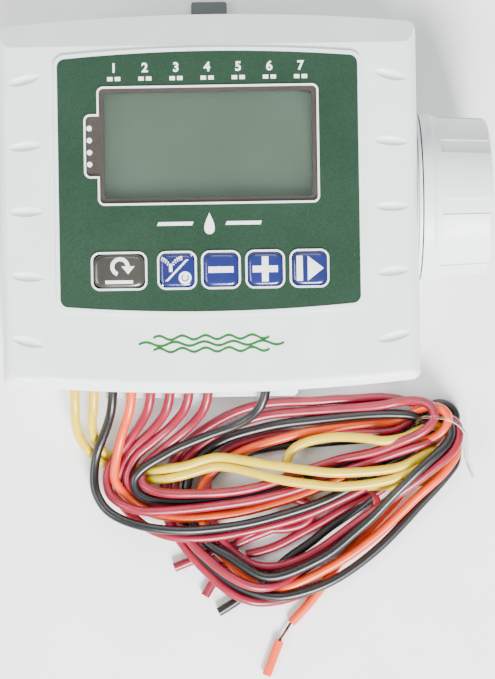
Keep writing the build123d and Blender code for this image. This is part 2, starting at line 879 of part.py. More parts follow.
def make_hole_plugs():
    plugs = []
    for hole in plugged_holes:
        x = wire_xs[hole]
        plugs.append(
            bar_y(-case_half_height - 0.6, wire_end_y - seal_strip_thickness, x, wire_z, wire_radius)
        )
    return Compound(children=plugs)


# ---- Battery, its sleeve and cap ------------------------------------------------------------------
def battery_block(grow, x_low, x_high):
    return block(
        (x_low, x_high),
        (axis_y - battery_width / 2 - grow, axis_y + battery_width / 2 + grow),
        (axis_z - battery_height / 2 - grow, axis_z + battery_height / 2 + grow),
    )


def sleeve_start_x():
    return battery_start_x - stud_height - snap_thickness - sleeve_end_gap


def make_battery_sleeve():
    """The sealed tube that holds the battery: square inside the case, a threaded neck outside it."""
    wall_inner_x = side_x - case_wall
    inside_x = wall_inner_x - sleeve_shoulder
    sleeve = battery_block(battery_gap + sleeve_wall, sleeve_start_x() - sleeve_wall, inside_x + 1)
    sleeve += about_axis(
        [
            (inside_x, 0),
            (inside_x, passage_radius),
            (side_x, passage_radius),
            (side_x, spigot_radius),
            (side_x + flange_start, spigot_radius),
            (side_x + flange_start, flange_radius),
            (flange_face_x, flange_radius),
            (flange_face_x, neck_radius),
            (neck_end_x - neck_chamfer, neck_radius),
            (neck_end_x, neck_radius - neck_chamfer),
            (neck_end_x, 0),
        ]
    )
    sleeve -= bar_x(inside_x + sleeve_shoulder / 2, neck_end_x + 1, axis_y, axis_z, neck_bore)
    sleeve -= battery_block(battery_gap, sleeve_start_x(), inside_x + 3)
    for side in (-1, 1):
        hole_y = axis_y + side * stud_offset
        hole_radius = lead_radius + hole_clearance
        sleeve -= bar_x(sleeve_start_x() - 3, sleeve_start_x() + 1, hole_y, axis_z, hole_radius)
    start = flange_face_x + thread_start
    return sleeve + thread(neck_radius, neck_radius + thread_height, start, thread_turns, 0)


def make_battery():
    case = battery_block(0, battery_start_x, battery_end_x)
    case = fillet(case.edges().filter_by(Axis.X), battery_edge)
    x_range = (battery_start_x - stud_height, battery_start_x + sink)
    case += bar_x(*x_range, axis_y + stud_offset, axis_z, stud_radius)
    ring = bar_x(*x_range, axis_y - stud_offset, axis_z, stud_ring_radius)
    ring -= bar_x(x_range[0] - 1, battery_start_x, axis_y - stud_offset, axis_z, stud_radius)
    return case + ring


def make_battery_snap():
    x_high = battery_start_x - stud_height
    plate = block(
        (x_high - snap_thickness, x_high),
        (axis_y - snap_width / 2, axis_y + snap_width / 2),
        (axis_z - snap_depth / 2, axis_z + snap_depth / 2),
    )
    return fillet(plate.edges().filter_by(Axis.X), snap_corner)


def make_snap_contacts():
    x_low = battery_start_x - stud_height
    x_range = (x_low, x_low + contact_length)
    socket = bar_x(*x_range, axis_y + stud_offset, axis_z, contact_socket_radius)
    socket -= bar_x(*x_range, axis_y + stud_offset, axis_z, contact_socket_bore)
    stud = bar_x(*x_range, axis_y - stud_offset, axis_z, contact_stud_radius)
    return Compound(children=[socket, stud])


def make_snap_lead(side, name):
    y = axis_y + side * stud_offset
    x_high = battery_start_x - stud_height - snap_thickness
    return tube(
        [(x_high, y, axis_z), (x_high - 10, y, axis_z), (x_high - 10, y, board_z)], lead_radius, name
    )


def make_cap_seal():
    x_low = flange_face_x + seal_gap
    ring = bar_x(x_low, x_low + seal_length, axis_y, axis_z, seal_outer)
    return ring - bar_x(x_low, x_low + seal_length, axis_y, axis_z, seal_inner)


def make_battery_cap():
    flange_end = cap_start_x + cap_flange_length
    grip_start = flange_end + cap_fillet_length
    seal_room = seal_outer + seal_room_clearance
    seal_end = cap_start_x + seal_length + seal_end_clearance
    fall = (cap_grip_radius - cap_end_radius) / (cap_end_x - grip_start)
    cap = about_axis(
        [
            (cap_start_x, seal_room),
            (cap_start_x, flange_radius),
            (flange_end, flange_radius),
            (flange_end + cap_shoulder_length, cap_grip_radius + cap_shoulder_rise),
            (grip_start, cap_grip_radius),
            (cap_end_x, cap_end_radius),
            (cap_end_x, 0),
            (cap_floor_x, 0),
            (cap_floor_x, cap_bore),
            (seal_end, cap_bore),
            (seal_end, seal_room),
        ]
    )
    cap = fillet(cap.edges().group_by(Axis.X)[-1], cap_end_round)
    for number in range(cap_groove_count):
        length = cap_end_x - cap_start_x - cap_groove_start + 2
        groove = Box(length, cap_groove_width, 4)
        lift = Pos(cap_start_x + cap_groove_start + length / 2, 0, 2)
        tilt = Rot(0, math.degrees(math.atan(fall)), 0)
        at_start = Pos(grip_start, 0, cap_grip_radius - cap_groove_depth)
        local = Pos(-grip_start, 0, 0) * lift * groove
        turn = Rot(cap_first_groove - 90 + 360 / cap_groove_count * number, 0, 0)
        cap -= Pos(0, axis_y, axis_z) * turn * at_start * tilt * local
    start = flange_face_x + thread_start + 1.5 * thread_pitch
    return cap + thread(cap_bore, cap_bore - thread_height, start, cap_turns, 0)


def make_cap_pad():
    return bar_x(cap_floor_x - pad_length, cap_floor_x, axis_y, axis_z, pad_radius)


# ---- Wires ------------------------------------------------------------------------------------------
def make_lead(name):
    hole, after = leads[name]
    x = wire_xs[hole]
    start = [(x, wire_end_y, wire_z), (x, wire_end_y - lead_straight, wire_z)]
    return tube(start + after, wire_radius, name)


def straight_bar(start, end, radius):
    path = Line(start, end)
    return sweep(Plane(origin=path @ 0, z_dir=path % 0) * Circle(radius), path=path)


def make_wire_hank():
    """The outer shape of the loosely wound wires."""
    outline = make_face(Polyline(*hank_outline, close=True))
    outline = fillet(outline.vertices(), hank_corner)
    return Pos(0, 0, hank_bottom_z) * extrude(outline, hank_top_z - hank_bottom_z)


def make_wire_tie():
    loop = tube(tie_loop, tie_radius, "wire_tie loop")
    return Compound(children=[loop, tube(tie_tail, tie_radius, "wire_tie tail")])


# ---- Bracket ----------------------------------------------------------------------------------------
def make_mounting_bracket():
    width = 2 * bracket_half_width
    height = bracket_top_y - bracket_bottom_y
    plate = extrude(RectangleRounded(width, height, bracket_corner), bracket_thickness)
    plate = Pos(0, (bracket_top_y + bracket_bottom_y) / 2, 0) * plate
    tab_half = tab_width / 2
    tab = block((-tab_half, tab_half), (bracket_top_y - 2, tab_top_y), (0, bracket_thickness))
    plate += fillet(tab.edges().filter_by(Axis.Z).group_by(Axis.Y)[-1], tab_corner)
    lip_top = bracket_thickness + 2 * rail_gap + hook_lip_thickness + rail_lip_thickness
    for side in (-1, 1):
        rail_range = (rail_low_y, rail_high_y)
        wall = block((rail_x, rail_x + rail_wall), rail_range, (bracket_thickness - 0.3, lip_top))
        lip = block(
            (rail_x, rail_x + rail_wall + rail_lip),
            (rail_low_y, rail_high_y),
            (lip_top - rail_lip_thickness, lip_top),
        )
        rail = wall + lip
        plate += rail if side > 0 else mirror(rail, Plane.YZ)
    for x in (-screw_hole_spacing_x / 2, screw_hole_spacing_x / 2):
        for y in (-screw_hole_spacing_y / 2, screw_hole_spacing_y / 2):
            plate -= post(x, y, -1, bracket_thickness + 1, screw_hole_radius)
    return plate


nodes = {
    "rear_housing": make_rear_housing,
    "front_cover": make_front_cover,
    "case_gasket": make_case_gasket,
    "case_screws": make_case_screws,
    "overlay_panel": make_overlay_panel,
    "lcd_bezel": make_lcd_bezel,
    "window_lens": make_window_lens,
    "lcd_glass": make_lcd_glass,
    "lcd_reflector": make_lcd_reflector,
    "lcd_connectors": make_lcd_connectors,
    "main_board": make_main_board,
    "board_screws": make_board_screws,
    "microcontroller": make_microcontroller,
    "driver_chips": make_driver_chips,
    "clock_crystal": make_clock_crystal,
    "reservoir_capacitor": make_reservoir_capacitor,
    "boost_inductor": make_boost_inductor,
    "tact_switches": make_tact_switches,
    "wire_board": make_wire_board,
    "board_header": make_board_header,
    "wire_seal": make_wire_seal,
    "hole_plugs": make_hole_plugs,
    "battery_sleeve": make_battery_sleeve,
    "battery": make_battery,
    "battery_snap": make_battery_snap,
    "snap_contacts": make_snap_contacts,
    "snap_lead_red": lambda: make_snap_lead(1, "snap_lead_red"),
    "snap_lead_black": lambda: make_snap_lead(-1, "snap_lead_black"),
    "cap_seal": make_cap_seal,
    "battery_cap": make_battery_cap,
    "cap_pad": make_cap_pad,
    "mounting_bracket": make_mounting_bracket,
    "wire_hank": make_wire_hank,
    "wire_tie": make_wire_tie,
    "orange_strand": lambda: straight_bar(tails["tail_orange"][-1], strand_end, strand_radius),
    "orange_slug": lambda: straight_bar(strand_end, slug_end, wire_radius),
}
for key_name, (key_x, key_width) in keys.items():
    nodes[f"key_{key_name}"] = lambda x=key_x, width=key_width: make_key(x, width)
    nodes[f"plunger_{key_name}"] = lambda x=key_x: make_plunger(x)
for lead_name in leads:
    nodes[lead_name] = lambda name=lead_name: make_lead(name)
for tail_name, tail_points in tails.items():
    nodes[tail_name] = lambda name=tail_name, points=tail_points: tube(points, wire_radius, name)

if __name__ == "__main__":
    os.makedirs("parts", exist_ok=True)
    for node_name, make in nodes.items():
        solid = make()
        export_step(solid, f"parts/{node_name}.step")
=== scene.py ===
import math

import bmesh
import bpy
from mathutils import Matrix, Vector


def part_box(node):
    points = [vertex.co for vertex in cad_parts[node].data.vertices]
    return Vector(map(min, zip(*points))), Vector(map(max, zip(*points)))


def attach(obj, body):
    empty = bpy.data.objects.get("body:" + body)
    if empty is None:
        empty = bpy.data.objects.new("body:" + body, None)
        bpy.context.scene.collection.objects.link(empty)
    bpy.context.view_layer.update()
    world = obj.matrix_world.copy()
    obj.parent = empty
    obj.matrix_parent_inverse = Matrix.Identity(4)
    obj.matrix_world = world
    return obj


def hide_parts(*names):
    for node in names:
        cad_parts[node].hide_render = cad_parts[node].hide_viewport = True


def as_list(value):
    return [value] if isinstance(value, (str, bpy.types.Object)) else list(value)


# The looks of a battery-powered irrigation controller that lies on its back beside its hank of wires.
# Metres, in the frame of the CAD model: +X to the battery cap, +Y to the top edge, +Z out of the display.

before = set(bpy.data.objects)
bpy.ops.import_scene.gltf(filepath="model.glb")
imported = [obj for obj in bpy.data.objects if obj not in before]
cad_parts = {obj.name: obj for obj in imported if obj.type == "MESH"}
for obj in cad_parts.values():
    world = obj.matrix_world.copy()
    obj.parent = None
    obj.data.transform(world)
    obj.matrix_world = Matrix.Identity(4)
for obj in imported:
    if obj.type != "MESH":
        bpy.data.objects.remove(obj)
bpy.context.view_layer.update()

MM = 0.001
CASE_FRONT = 53.4 * MM
ZONE_FACE = 53.6 * MM


def span(node):
    """A CAD node's middle, and its lowest and highest corners."""
    low, high = (Vector(corner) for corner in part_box(node))
    return (low + high) / 2, low, high


def srgb(red, green, blue):
    """A colour given as it looks on a screen, from 0 to 255, in the renderer's linear values."""
    shares = [value / 255 for value in (red, green, blue)]
    return [(s / 12.92) if s < 0.04045 else ((s + 0.055) / 1.055) ** 2.4 for s in shares] + [1.0]


# ---- Materials ------------------------------------------------------------------------------------

SOCKETS = {
    "metallic": "Metallic",
    "rough": "Roughness",
    "ior": "IOR",
    "alpha": "Alpha",
    "specular": "Specular IOR Level",
    "through": "Transmission Weight",
    "coat": "Coat Weight",
    "coat_rough": "Coat Roughness",
    "sheen": "Sheen Weight",
    "under": "Subsurface Weight",
    "under_scale": "Subsurface Scale",
    "spun": "Anisotropic",
}


class Finish:
    """A material whose Principled shader is fed by textures in the object's own metres."""

    def __init__(self, name, **uniform):
        self.material = bpy.data.materials.new(name)
        self.material.use_nodes = True
        self.nodes = self.material.node_tree.nodes
        self.links = self.material.node_tree.links
        self.shader = self.nodes["Principled BSDF"]
        self.place = self.nodes.new("ShaderNodeTexCoord").outputs["Object"]
        for word, value in uniform.items():
            self.shader.inputs[SOCKETS[word]].default_value = value

    def join(self, source, node, socket):
        self.links.new(source, node.inputs[socket])

    def noise(self, grain, detail=3.0, stretch=(1.0, 1.0, 1.0), blur=0.55):
        """Noise whose grain is about that many metres, longer along an axis that is stretched."""
        mapping = self.nodes.new("ShaderNodeMapping")
        mapping.inputs["Scale"].default_value = [1 / along for along in stretch]
        self.join(self.place, mapping, "Vector")
        node = self.nodes.new("ShaderNodeTexNoise")
        node.inputs["Scale"].default_value = 1 / grain
        node.inputs["Detail"].default_value = detail
        node.inputs["Roughness"].default_value = blur
        self.join(mapping.outputs["Vector"], node, "Vector")
        return node.outputs["Fac"]

    def cells(self, size, stretch=(1.0, 1.0, 1.0)):
        """Distances to the nearest of scattered points about that many metres apart."""
        mapping = self.nodes.new("ShaderNodeMapping")
        mapping.inputs["Scale"].default_value = [1 / along for along in stretch]
        self.join(self.place, mapping, "Vector")
        node = self.nodes.new("ShaderNodeTexVoronoi")
        node.inputs["Scale"].default_value = 1 / size
        self.join(mapping.outputs["Vector"], node, "Vector")
        return node.outputs["Distance"]

    def ramp(self, factor, stops):
        """Colours or numbers that follow a factor: stops are (place, value) pairs."""
        node = self.nodes.new("ShaderNodeValToRGB")
        while len(node.color_ramp.elements) < len(stops):
            node.color_ramp.elements.new(0.5)
        for element, (place, value) in zip(node.color_ramp.elements, stops):
            element.position = place
            element.color = value if isinstance(value, list) else [value, value, value, 1.0]
        self.join(factor, node, "Fac")
        return node.outputs["Color"]

    def multiply(self, first, second, amount=1.0):
        node = self.nodes.new("ShaderNodeMix")
        node.data_type = "RGBA"
        node.blend_type = "MULTIPLY"
        node.inputs["Factor"].default_value = amount
        self.links.new(first, node.inputs[6])
        self.links.new(second, node.inputs[7])
        return node.outputs[2]

    def painted_corner_shade(self, reach, dark):
        """Painted shade: white in the open, and down to dark in the corners within that reach."""
        node = self.nodes.new("ShaderNodeAmbientOcclusion")
        node.inputs["Distance"].default_value = reach
        node.samples = 4
        return self.ramp(node.outputs["AO"], [(0.0, dark), (0.75, 1.0)])

    def colour(self, source):
        self.join(source, self.shader, "Base Color")

    def roughness(self, source, low, high):
        self.join(self.ramp(source, [(0.25, low), (0.75, high)]), self.shader, "Roughness")

    def bumps(self, layers):
        """Stacks bumps given as (height source, depth in metres, strength)."""
        below = None
        for height, depth, strength in layers:
            node = self.nodes.new("ShaderNodeBump")
            node.inputs["Distance"].default_value = depth
            node.inputs["Strength"].default_value = strength
            self.join(height, node, "Height")
            if below:
                self.join(below, node, "Normal")
            below = node.outputs["Normal"]
        self.join(below, self.shader, "Normal")


def moulded(name, light, dark, rough, grain=0.35 * MM, depth=0.03 * MM, painted_corner_shade=0.8, **uniform):
    """Moulded plastic or rubber: cloudy colour, fine texture and painted shade darkening its corners."""
    finish = Finish(name, **uniform)
    clouds = finish.noise(14 * MM, 4.0)
    tint = finish.ramp(clouds, [(0.3, dark), (0.7, light)])
    # The colour is multiplied by painted shade that darkens it in corners.
    finish.colour(finish.multiply(tint, finish.painted_corner_shade(3 * MM, painted_corner_shade)))
    texture = finish.noise(grain, 2.0)
    handling = finish.noise(5 * MM, 6.0, blur=0.7)
    finish.roughness(handling, rough - 0.06, rough + 0.08)
    finish.bumps([(texture, depth, 0.5), (handling, 0.02 * MM, 0.3)])
    return finish.material


def speckled(name, light, dark, rough, speck=0.28 * MM, **uniform):
    """Printed film: an even colour broken by fine lighter and darker specks."""
    finish = Finish(name, **uniform)
    specks = finish.noise(speck, 1.0)
    drift = finish.noise(20 * MM, 3.0)
    tint = finish.ramp(specks, [(0.3, dark), (0.7, light)])
    wash = finish.ramp(drift, [(0.3, 0.92), (0.7, 1.0)])
    # The colour is multiplied by painted shade that darkens it in corners.
    finish.colour(finish.multiply(finish.multiply(tint, wash), finish.painted_corner_shade(1.5 * MM, 0.72)))
    finish.roughness(drift, rough - 0.05, rough + 0.06)
    finish.bumps([(specks, 0.025 * MM, 0.45)])
    return finish.material


def metal(name, light, dark, rough, along=(1.0, 1.0, 1.0), grain=0.15 * MM, **uniform):
    """Plated or bare metal with fine drawn lines and dull patches."""
    finish = Finish(name, metallic=1.0, **uniform)
    lines = finish.noise(grain, 2.0, stretch=along)
    patches = finish.noise(2.5 * MM, 5.0, blur=0.7)
    finish.colour(finish.ramp(patches, [(0.3, dark), (0.65, light)]))
    finish.roughness(patches, rough - 0.07, rough + 0.12)
    finish.bumps([(lines, 0.02 * MM, 0.4)])
    return finish.material


def insulation(name, light, dark):
    """Wire insulation: soft gloss, faint draw lines and small scuffs."""
    finish = Finish(name, coat=0.25, coat_rough=0.2, under=0.04, under_scale=0.6 * MM)
    clouds = finish.noise(6 * MM, 4.0)
    scuffs = finish.noise(0.7 * MM, 6.0, blur=0.75)
    tint = finish.ramp(clouds, [(0.3, dark), (0.7, light)])
    wear = finish.ramp(scuffs, [(0.3, 0.86), (0.5, 1.0)])
    # Random scuffs are real wear; the colour is also multiplied by painted shade that darkens it in corners.
    finish.colour(finish.multiply(finish.multiply(tint, wear), finish.painted_corner_shade(1.6 * MM, 0.6)))
    finish.roughness(scuffs, 0.28, 0.46)
    finish.bumps([(clouds, 0.12 * MM, 0.35), (scuffs, 0.02 * MM, 0.35)])
    return finish.material


def clear(name, tint, rough, ior=1.49, **uniform):
    """Clear plastic with a few hairline scratches."""
    finish = Finish(name, through=1.0, rough=rough, ior=ior, **uniform)
    finish.shader.inputs["Base Color"].default_value = tint
    scratches = finish.noise(0.12 * MM, 3.0, stretch=(26.0, 1.0, 1.0))
    finish.bumps([(scratches, 0.004 * MM, 0.2)])
    return finish.material


def solder_mask(name):
    """Circuit board: dark green with lighter copper runs under the lacquer."""
    finish = Finish(name, coat=0.6, coat_rough=0.15)
    runs = finish.cells(2.2 * MM, stretch=(3.0, 1.0, 1.0))
    tint = finish.ramp(runs, [(0.36, srgb(18, 74, 40)), (0.44, srgb(52, 120, 66))])
    finish.colour(tint)
    finish.roughness(finish.noise(3 * MM), 0.25, 0.4)
    finish.bumps([(runs, 0.05 * MM, 0.4)])
    return finish.material


def display_glass(name):
    """Reflective display: grey-green, cloudier to one side, with a faint fine grain."""
    finish = Finish(name, coat=0.35, coat_rough=0.25)
    drift = finish.noise(30 * MM, 2.0)
    fine = finish.noise(0.2 * MM, 1.0)
    tint = finish.ramp(drift, [(0.25, srgb(82, 106, 86)), (0.75, srgb(98, 122, 104))])
    finish.colour(finish.multiply(tint, finish.ramp(fine, [(0.3, 0.95), (0.7, 1.0)])))
    finish.roughness(fine, 0.38, 0.5)
    finish.bumps([(fine, 0.01 * MM, 0.3)])
    return finish.material


WHITE_LIGHT, WHITE_DARK = srgb(232, 235, 235), srgb(224, 228, 229)
case_white = moulded("case_white", WHITE_LIGHT, WHITE_DARK, 0.4, coat=0.08, coat_rough=0.3)
label_green = speckled("label_green", srgb(18, 60, 36), srgb(6, 34, 18), 0.42)
border_brown = speckled("border_brown", srgb(66, 59, 53), srgb(46, 41, 37), 0.4)
ink_white = speckled("ink_white", srgb(247, 248, 246), srgb(236, 239, 238), 0.45)
ink_green = speckled("ink_green", srgb(14, 110, 36), srgb(8, 88, 26), 0.4)
ink_blue = speckled("ink_blue", srgb(14, 34, 118), srgb(10, 26, 98), 0.4)
key_blue = moulded(
    "key_blue", srgb(12, 28, 108), srgb(8, 20, 84), 0.26, depth=0.012 * MM, coat=0.7, coat_rough=0.12
)
key_grey = moulded(
    "key_grey", srgb(56, 52, 47), srgb(42, 39, 35), 0.28, depth=0.012 * MM, coat=0.6, coat_rough=0.14
)
bracket_grey = moulded("bracket_grey", srgb(96, 103, 104), srgb(86, 94, 95), 0.45)
rubber_black = moulded("rubber_black", srgb(38, 38, 40), srgb(26, 26, 28), 0.62, depth=0.05 * MM)
rubber_grey = moulded("rubber_grey", srgb(70, 72, 74), srgb(56, 58, 60), 0.6, depth=0.05 * MM)
chip_black = moulded("chip_black", srgb(36, 37, 40), srgb(24, 25, 28), 0.5)
sleeve_black = moulded("sleeve_black", srgb(44, 46, 58), srgb(30, 32, 44), 0.3)
ferrite = moulded("ferrite", srgb(72, 70, 72), srgb(52, 50, 52), 0.7, depth=0.06 * MM)
foam = moulded("foam", srgb(88, 88, 90), srgb(60, 60, 62), 0.95, grain=0.5 * MM, depth=0.2 * MM)
jacket = speckled("jacket", srgb(64, 70, 78), srgb(50, 54, 62), 0.3, coat=0.4, coat_rough=0.15)
plunger_white = moulded("plunger_white", srgb(236, 236, 230), srgb(222, 222, 216), 0.38)
reflector = speckled("reflector", srgb(196, 202, 196), srgb(180, 188, 182), 0.35)
plated = metal("plated", srgb(205, 203, 196), srgb(168, 166, 160), 0.25)
screw_steel = metal("screw_steel", srgb(190, 190, 192), srgb(140, 140, 144), 0.3)
copper_tinned = metal("copper_tinned", srgb(120, 96, 78), srgb(70, 56, 46), 0.38, grain=0.08 * MM)
green_board = solder_mask("green_board")
lcd = display_glass("lcd")
window_clear = clear("window_clear", srgb(246, 249, 247), 0.03)
tie_clear = clear("tie_clear", srgb(236, 240, 242), 0.12, ior=1.42)
wire_yellow = insulation("wire_yellow", srgb(226, 194, 2), srgb(208, 174, 2))
wire_black = insulation("wire_black", srgb(9, 9, 10), srgb(5, 5, 6))
wire_orange = insulation("wire_orange", srgb(236, 80, 6), srgb(216, 64, 4))
wire_red = insulation("wire_red", srgb(150, 8, 44), srgb(124, 4, 32))

NODE_FINISHES = [
    (case_white, "rear_housing front_cover battery_cap battery_sleeve hole_plugs"),
    (label_green, "overlay_panel"),
    (border_brown, "lcd_bezel"),
    (window_clear, "window_lens"),
    (lcd, "lcd_glass"),
    (reflector, "lcd_reflector"),
    (rubber_black, "cap_seal case_gasket wire_seal snap_lead_black battery_snap"),
    (rubber_grey, "lcd_connectors"),
    (green_board, "main_board wire_board"),
    (chip_black, "microcontroller driver_chips board_header"),
    (plated, "clock_crystal snap_contacts"),
    (sleeve_black, "reservoir_capacitor"),
    (ferrite, "boost_inductor"),
    (jacket, "battery"),
    (foam, "cap_pad"),
    (screw_steel, "case_screws board_screws"),
    (bracket_grey, "mounting_bracket"),
    (chip_black, "tact_switches"),
    (wire_red, "snap_lead_red"),
    (wire_orange, "orange_slug"),
    (plunger_white, "plunger_mode plunger_on_off plunger_minus plunger_plus plunger_next"),
]
for material, names in NODE_FINISHES:
    for name in names.split():
        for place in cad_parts[name].material_slots:
            place.material = material


# ---- Pieces built from patches --------------------------------------------------------------------


def grid_faces(mesh, rows):
    """Joins rows of points into quads."""
    for row, above in zip(rows, rows[1:]):
        for a, b, c, d in zip(row, row[1:], above[1:], above):
            mesh.faces.new((a, b, c, d))


def slab(mesh, place, floor, across, along, thick):
    """A closed slab over the patch place(u, v), lying on the surface floor(x, y)."""
    layers = []
    for lift in (-thick, thick):
        rows = []
        for i in range(along + 1):
            points = [place(i / along, j / across) for j in range(across + 1)]
            rows.append([mesh.verts.new((x, y, floor(x, y) + lift)) for x, y in points])
        layers.append(rows)
        grid_faces(mesh, rows)
    bottom, top = layers
    for edge_low, edge_high in (
        (bottom[0], top[0]),
        (bottom[-1], top[-1]),
        ([row[0] for row in bottom], [row[0] for row in top]),
        ([row[-1] for row in bottom], [row[-1] for row in top]),
    ):
        grid_faces(mesh, [edge_low, edge_high])


def bar(x, y, width, height, lean=0.0):
    """A patch: an upright rectangle about its middle, whose top leans by that many metres."""
    return lambda u, v: (x + (u - 0.5) * width + (v - 0.5) * lean, y + (v - 0.5) * height)


def disc(x, y, radius):
    """A patch: a round spot."""
    def place(u, v):
        turn = 2 * math.pi * u
        return x + radius * v * math.cos(turn), y + radius * v * math.sin(turn)
    return place


def wedge(tip, base_low, base_high):
    """A patch: a triangle."""
    def place(u, v):
        edge = [low + (high - low) * v for low, high in zip(base_low, base_high)]
        return tuple(start + (end - start) * u for start, end in zip(tip, edge))
    return place


def bow(x, y, radius, width, start, end):
    """A patch: an arc of a ring, from start to end in degrees."""
    def place(u, v):
        turn = math.radians(start + (end - start) * u)
        reach = radius + (v - 0.5) * width
        return x + reach * math.cos(turn), y + reach * math.sin(turn)
    return place


def droplet(x, y, height):
    """A patch: a water drop with its point up."""
    def place(u, v):
        turn = 2 * math.pi * u
        narrow = math.sin(turn / 2) ** 1.5
        return x + 0.34 * height * v * math.sin(turn) * narrow, y + 0.5 * height * v * math.cos(turn)
    return place


def wave(x, y, length, rise, width, crests):
    """A patch: a level ripple."""
    def place(u, v):
        swell = rise * math.sin(2 * math.pi * crests * u)
        return x + (u - 0.5) * length, y + swell + (v - 0.5) * width
    return place


def printed(name, patches, floor, material, body, thick=0.035 * MM, across=6, along=24):
    """One piece of raised ink made of patches."""
    mesh = bmesh.new()
    for place in patches:
        slab(mesh, place, floor, across, along, thick)
    return solid(name, mesh, material, body)


def solid(name, mesh, material, body, smooth=False):
    """Finishes a mesh as a piece that rides on a body."""
    bmesh.ops.remove_doubles(mesh, verts=mesh.verts, dist=0.001 * MM)
    bmesh.ops.dissolve_degenerate(mesh, edges=mesh.edges, dist=0.001 * MM)
    bmesh.ops.recalc_face_normals(mesh, faces=mesh.faces)
    data = bpy.data.meshes.new(name)
    mesh.to_mesh(data)
    mesh.free()
    piece = bpy.data.objects.new(name, data)
    bpy.context.scene.collection.objects.link(piece)
    data.materials.append(material)
    if smooth:
        data.polygons.foreach_set("use_smooth", [True] * len(data.polygons))
    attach(piece, body)
    return piece


# ---- Keys -----------------------------------------------------------------------------------------

KEY_DOME = 0.45 * MM
KEY_EDGE = 0.9 * MM
KEY_RINGS = 14
KEY_SIDES = 96
KEY_SQUARENESS = 5.0


def key_shape(node):
    """A key's middle, its half sizes above the panel, and its dome as a function of x and y."""
    middle, low, high = span(node)
    flange = 0.8 * MM
    half_x = (high.x - low.x) / 2 - flange
    half_y = (high.y - low.y) / 2 - flange

    def top(x, y):
        out_x, out_y = abs(x - middle.x) / half_x, abs(y - middle.y) / half_y
        out = (out_x**KEY_SQUARENESS + out_y**KEY_SQUARENESS) ** (1 / KEY_SQUARENESS)
        shoulder = max(0.0, min(out, 1.0) - 0.8) / 0.2
        return high.z - KEY_DOME * min(out, 1.0) ** 2 - KEY_EDGE * 0.55 * shoulder**2.4

    return middle, half_x, half_y, low.z, top


def domed_key(name, material):
    """The key's cushion-shaped moulding, which stands for the plain CAD key."""
    node = "key_" + name
    middle, half_x, half_y, low_z, top = key_shape(node)
    mesh = bmesh.new()
    rows = []
    for ring in range(KEY_RINGS + 1):
        share = ring / KEY_RINGS
        reach = math.sin(share * math.pi / 2)
        row = []
        for side in range(KEY_SIDES + 1):
            turn = 2 * math.pi * side / KEY_SIDES
            cosine, sine = math.cos(turn), math.sin(turn)
            square = (abs(cosine) ** KEY_SQUARENESS + abs(sine) ** KEY_SQUARENESS) ** (-1 / KEY_SQUARENESS)
            x = middle.x + half_x * reach * cosine * square
            y = middle.y + half_y * reach * sine * square
            row.append(mesh.verts.new((x, y, top(x, y))))
        rows.append(row)
    for depth in (1.0 * MM, 2.0 * MM):
        rows.append([mesh.verts.new((v.co.x, v.co.y, v.co.z - depth)) for v in rows[KEY_RINGS]])
    grid_faces(mesh, rows)
    mesh.faces.new(reversed(rows[-1][:-1]))
    piece = solid("key_cap_" + name, mesh, material, node, smooth=True)
    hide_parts(node)
    return top


SLOTS = {"mode": "key_grey"}
for blue in ("on_off", "minus", "plus", "next"):
    SLOTS[blue] = "key_blue"
KEY_TOPS = {}
for key_name in SLOTS:
    KEY_TOPS[key_name] = domed_key(key_name, key_grey if key_name == "mode" else key_blue)


def key_mark(name, patches, material=ink_white, part="mark", thick=0.03 * MM):
    printed(f"{name}_{part}", patches, KEY_TOPS[name], material, "key_" + name, thick)


key_y = span("key_minus")[0].y
minus_x, plus_x, next_x, on_off_x, mode_x = (
    span("key_" + word)[0].x for word in ("minus", "plus", "next", "on_off", "mode")
)
key_mark("minus", [bar(minus_x, key_y, 6.9 * MM, 1.7 * MM)])
key_mark("plus", [bar(plus_x, key_y, 6.9 * MM, 1.8 * MM), bar(plus_x, key_y, 1.8 * MM, 6.9 * MM)])
arrow_tip = (next_x + 3.9 * MM, key_y)
key_mark(
    "next",
    [
        bar(next_x - 2.7 * MM, key_y, 1.7 * MM, 6.9 * MM),
        wedge(arrow_tip, (next_x - 0.5 * MM, key_y - 3.4 * MM), (next_x - 0.5 * MM, key_y + 3.4 * MM)),
    ],
)
# On and off: a slash between a sprinkler head with two sprays of drops, and a round spot
spray = []
for side in (-1, 1):
    for step in range(5):
        drop_x = on_off_x - 1.7 * MM + side * (0.7 + 0.55 * step) * MM
        drop_y = key_y + (2.2 + 0.62 * step - 0.07 * step**2) * MM
        spray.append(disc(drop_x, drop_y, (0.26 + 0.02 * step) * MM))
        spray.append(disc(drop_x + side * 0.15 * MM, drop_y - 0.62 * MM, 0.2 * MM))
spray = [place for place in spray if abs(place(0, 0)[0] - on_off_x) < 4.3 * MM]
key_mark(
    "on_off",
    [
        bar(on_off_x, key_y, 0.75 * MM, 8.6 * MM, lean=8.4 * MM),
        bar(on_off_x - 1.7 * MM, key_y + 0.7 * MM, 0.9 * MM, 2.2 * MM),
        disc(on_off_x + 2.2 * MM, key_y - 2.1 * MM, 1.75 * MM),
    ] + spray,
)
key_mark(
    "on_off",
    [bow(on_off_x + 2.2 * MM, key_y - 2.1 * MM, 0.85 * MM, 0.3 * MM, 130, 410)],
    ink_blue,
    "ring",
    thick=0.05 * MM,
)
# Mode: an arrow that turns back on itself, over a plain bar
turn_x, turn_y = mode_x + 0.3 * MM, key_y + 1.2 * MM
key_mark(
    "mode",
    [
        bow(turn_x, turn_y, 2.1 * MM, 1.1 * MM, 0, 250),
        wedge(
            (turn_x + 2.2 * MM, turn_y - 2.1 * MM),
            (turn_x + 0.4 * MM, turn_y + 0.1 * MM),
            (turn_x + 4.0 * MM, turn_y + 0.1 * MM),
        ),
        bar(mode_x, key_y - 3.0 * MM, 7.6 * MM, 0.9 * MM),
    ],
)

# ---- Printing on the label panel and the cover ----------------------------------------------------

_, panel_low, panel_high = span("overlay_panel")
display_middle, display_low, display_high = span("window_lens")


def level(height):
    return lambda x, y: height


